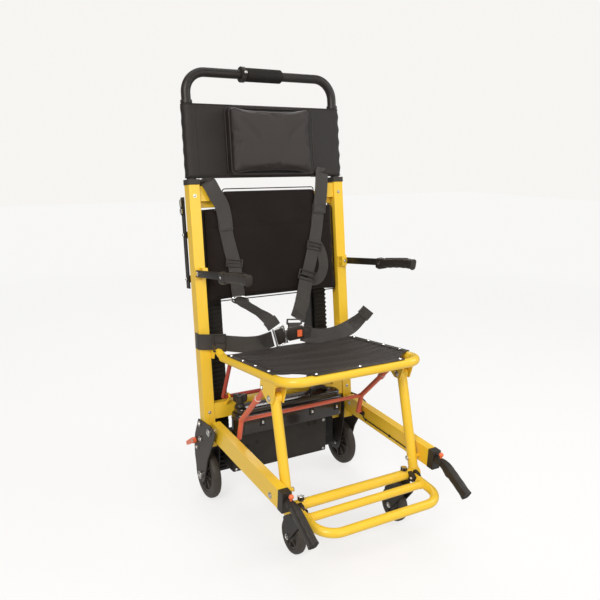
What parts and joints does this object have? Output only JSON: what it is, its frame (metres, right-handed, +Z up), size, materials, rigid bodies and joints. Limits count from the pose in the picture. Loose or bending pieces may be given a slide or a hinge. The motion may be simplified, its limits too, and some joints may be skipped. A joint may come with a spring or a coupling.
{
  "type": "stair chair",
  "caption": "Folding evacuation stair chair on wheels with a battery-driven stair track, lap and shoulder harness, footrest and carry handles.",
  "frame": {"origin": "on the floor, below the middle of the chair's overall box", "axes": "+Z up, the chair faces -Y, and +X points towards the sitter's left hand"},
  "size_m": [0.552, 0.777, 1.2738],
  "materials": {
    "yellow_paint": "satin powder coat",
    "black_paint": "satin powder coat",
    "black_plastic": "fine moulded grain",
    "battery_plastic": "semi gloss",
    "black_rubber": "matt rubber",
    "grey_tyre": "smooth tread",
    "zinc": "zinc plated",
    "black_fabric": "woven polyester",
    "webbing": "ribbed webbing",
    "grey_strip": "anodised",
    "red_paint": "satin powder coat",
    "dark_red_paint": "satin powder coat",
    "orange_plastic": "gloss"
  },
  "bodies": {
    "back_frame": {"uprights": "yellow_paint", "upright_caps": "black_plastic", "top_crossbar": "yellow_paint", "middle_crossbar": "yellow_paint", "base_crossbar": "yellow_paint", "lower_crossbar": "yellow_paint", "arm_brackets": "yellow_paint", "seat_brackets": "yellow_paint", "backrest_board": "black_plastic", "backrest_pad": "black_fabric", "side_plates": "black_paint", "inner_plates": "black_paint", "plate_bolts": "zinc", "drive_housing": "black_paint", "drive_motor": "zinc", "wheel_axles": "zinc", "shoulder_straps": "webbing", "lap_belts": "webbing", "buckle": "black_plastic"},
    "buckle_button": {"buckle_button": "orange_plastic"},
    "battery": {"battery_case": "battery_plastic", "battery_catches": "zinc"},
    "battery_knob": {"battery_knob": "black_plastic"},
    "release_bail": {"release_bail": "dark_red_paint"},
    "brake_pedal_left": {"brake_pedal_left": "orange_plastic"},
    "brake_pedal_right": {"brake_pedal_right": "orange_plastic"},
    "rear_wheel_left": {"rear_wheel_left": "grey_tyre"},
    "rear_wheel_right": {"rear_wheel_right": "grey_tyre"},
    "stair_tracks": {"track_plates": "black_paint", "track_spreaders": "black_paint", "track_belts": "black_rubber", "track_struts": "black_paint"},
    "drive_axle": {"drive_axle": "zinc"},
    "idler_axle": {"idler_axle": "zinc"},
    "push_handle": {"push_handle": "black_paint", "handle_sleeve": "black_rubber", "handle_collars": "black_paint", "headrest_panel": "black_fabric", "headrest_pillow": "black_fabric"},
    "armrest_left": {"armrest_left": "black_plastic"},
    "armrest_right": {"armrest_right": "black_plastic"},
    "rails": {"side_rails": "yellow_paint", "rail_ends": "black_plastic", "latch_cables": "black_plastic"},
    "carry_handle_left": {"carry_handle_left": "black_plastic"},
    "carry_handle_right": {"carry_handle_right": "black_plastic"},
    "button_left": {"button_left": "orange_plastic"},
    "button_right": {"button_right": "orange_plastic"},
    "seat": {"seat_tube": "yellow_paint", "seat_clevises": "yellow_paint", "seat_strips": "grey_strip", "seat_fabric": "black_fabric"},
    "lock_brace": {"lock_brace": "red_paint"},
    "front_frame": {"front_legs": "yellow_paint", "front_crossbeam": "yellow_paint"},
    "footrest": {"footrest": "yellow_paint"},
    "caster_fork_left": {"caster_fork_left": "black_paint"},
    "caster_fork_right": {"caster_fork_right": "black_paint"},
    "caster_wheel_left": {"caster_wheel_left": "grey_tyre"},
    "caster_wheel_right": {"caster_wheel_right": "grey_tyre"}
  },
  "joints": [
    {"name": "seat_fold", "type": "hinge", "parent": "back_frame", "child": "seat", "pos_m": [0, 0.2151, 0.465], "axis": [-1, 0, 0], "range_deg": [0, 91], "deforming": ["shoulder_straps", "lap_belts", "buckle", "buckle_button"]},
    {"name": "rail_fold", "type": "hinge", "parent": "back_frame", "child": "rails", "pos_m": [0, 0.1551, 0.236], "axis": [-1, 0, 0], "range_deg": [0, 91]},
    {"name": "leg_fold", "type": "hinge", "parent": "seat", "child": "front_frame", "pos_m": [0, -0.1319, 0.425], "axis": [1, 0, 0], "range_deg": [0, 91]},
    {"name": "brace_fold", "type": "hinge", "parent": "seat", "child": "lock_brace", "pos_m": [0, -0.0939, 0.443], "axis": [1, 0, 0], "range_deg": [0, 38.3]},
    {"name": "bail_swing", "type": "hinge", "parent": "back_frame", "child": "release_bail", "pos_m": [0, 0.1911, 0.322], "axis": [1, 0, 0], "range_deg": [0, 20]},
    {"name": "brake_pedal_left", "type": "hinge", "parent": "back_frame", "child": "brake_pedal_left", "pos_m": [-0.27, 0.2641, 0.172], "axis": [-1, 0, 0], "range_deg": [0, 16]},
    {"name": "rear_wheel_left", "type": "hinge", "parent": "back_frame", "child": "rear_wheel_left", "pos_m": [-0.241, 0.2241, 0.075], "axis": [1, 0, 0], "continuous": true},
    {"name": "brake_pedal_right", "type": "hinge", "parent": "back_frame", "child": "brake_pedal_right", "pos_m": [0.27, 0.2641, 0.172], "axis": [-1, 0, 0], "range_deg": [0, 16]},
    {"name": "rear_wheel_right", "type": "hinge", "parent": "back_frame", "child": "rear_wheel_right", "pos_m": [0.241, 0.2241, 0.075], "axis": [1, 0, 0], "continuous": true},
    {"name": "track_swing", "type": "hinge", "parent": "back_frame", "child": "stair_tracks", "pos_m": [0, 0.26567, 0.09739], "axis": [-1, 0, 0], "range_deg": [0, 28]},
    {"name": "track_drive", "type": "hinge", "parent": "stair_tracks", "child": "drive_axle", "pos_m": [0, 0.26567, 0.09739], "axis": [1, 0, 0], "continuous": true},
    {"name": "track_idler", "type": "hinge", "parent": "stair_tracks", "child": "idler_axle", "pos_m": [0, 0.34648, 0.81787], "axis": [1, 0, 0], "continuous": true},
    {"name": "handle_extend", "type": "slide", "parent": "back_frame", "child": "push_handle", "axis": [0, 0.1115, 0.9938], "range_m": [0, 0.25]},
    {"name": "armrest_left", "type": "hinge", "parent": "back_frame", "child": "armrest_left", "pos_m": [-0.256, 0.22802, 0.69028], "axis": [-1, 0, 0], "range_deg": [0, 90]},
    {"name": "carry_handle_left", "type": "slide", "parent": "rails", "child": "carry_handle_left", "axis": [0, -0.9974, -0.0715], "range_m": [0, 0.15]},
    {"name": "release_button_left", "type": "slide", "parent": "carry_handle_left", "child": "button_left", "axis": [0, 0.0715, -0.9974], "range_m": [0, 0.003], "stiffness_N_per_m": 600, "springref_m": -0.002},
    {"name": "armrest_right", "type": "hinge", "parent": "back_frame", "child": "armrest_right", "pos_m": [0.256, 0.22802, 0.69028], "axis": [-1, 0, 0], "range_deg": [0, 90]},
    {"name": "carry_handle_right", "type": "slide", "parent": "rails", "child": "carry_handle_right", "axis": [0, -0.9974, -0.0715], "range_m": [0, 0.15]},
    {"name": "release_button_right", "type": "slide", "parent": "carry_handle_right", "child": "button_right", "axis": [0, 0.0715, -0.9974], "range_m": [0, 0.003], "stiffness_N_per_m": 600, "springref_m": -0.002},
    {"name": "footrest_fold", "type": "hinge", "parent": "front_frame", "child": "footrest", "pos_m": [0, -0.2259, 0.152], "axis": [-1, 0, 0], "range_deg": [0, 90]},
    {"name": "caster_swivel_left", "type": "hinge", "parent": "front_frame", "child": "caster_fork_left", "pos_m": [-0.166, -0.2019, 0.12], "axis": [0, 0, 1], "continuous": true},
    {"name": "caster_roll_left", "type": "hinge", "parent": "caster_fork_left", "child": "caster_wheel_left", "pos_m": [-0.166, -0.1669, 0.05], "axis": [1, 0, 0], "continuous": true},
    {"name": "caster_swivel_right", "type": "hinge", "parent": "front_frame", "child": "caster_fork_right", "pos_m": [0.166, -0.2019, 0.12], "axis": [0, 0, 1], "continuous": true},
    {"name": "caster_roll_right", "type": "hinge", "parent": "caster_fork_right", "child": "caster_wheel_right", "pos_m": [0.166, -0.1669, 0.05], "axis": [1, 0, 0], "continuous": true},
    {"name": "battery_lift", "type": "slide", "parent": "back_frame", "child": "battery", "axis": [0, 0, 1], "range_m": [0, 0.045]},
    {"name": "battery_knob_turn", "type": "hinge", "parent": "battery", "child": "battery_knob", "pos_m": [-0.168, 0.1501, 0.3], "axis": [0, 0, 1], "continuous": true},
    {"name": "buckle_press", "type": "slide", "parent": "back_frame", "child": "buckle_button", "axis": [0, 1, 0], "range_m": [0, 0.003], "stiffness_N_per_m": 600, "springref_m": -0.002}
  ],
  "couplings": [
    {"joint": "rail_fold", "follows": "seat_fold", "ratio": 1},
    {"joint": "leg_fold", "follows": "seat_fold", "ratio": 1},
    {"joint": "brace_fold", "follows": "seat_fold", "ratio": 0.42},
    {"joint": "track_idler", "follows": "track_drive", "ratio": 1}
  ]
}
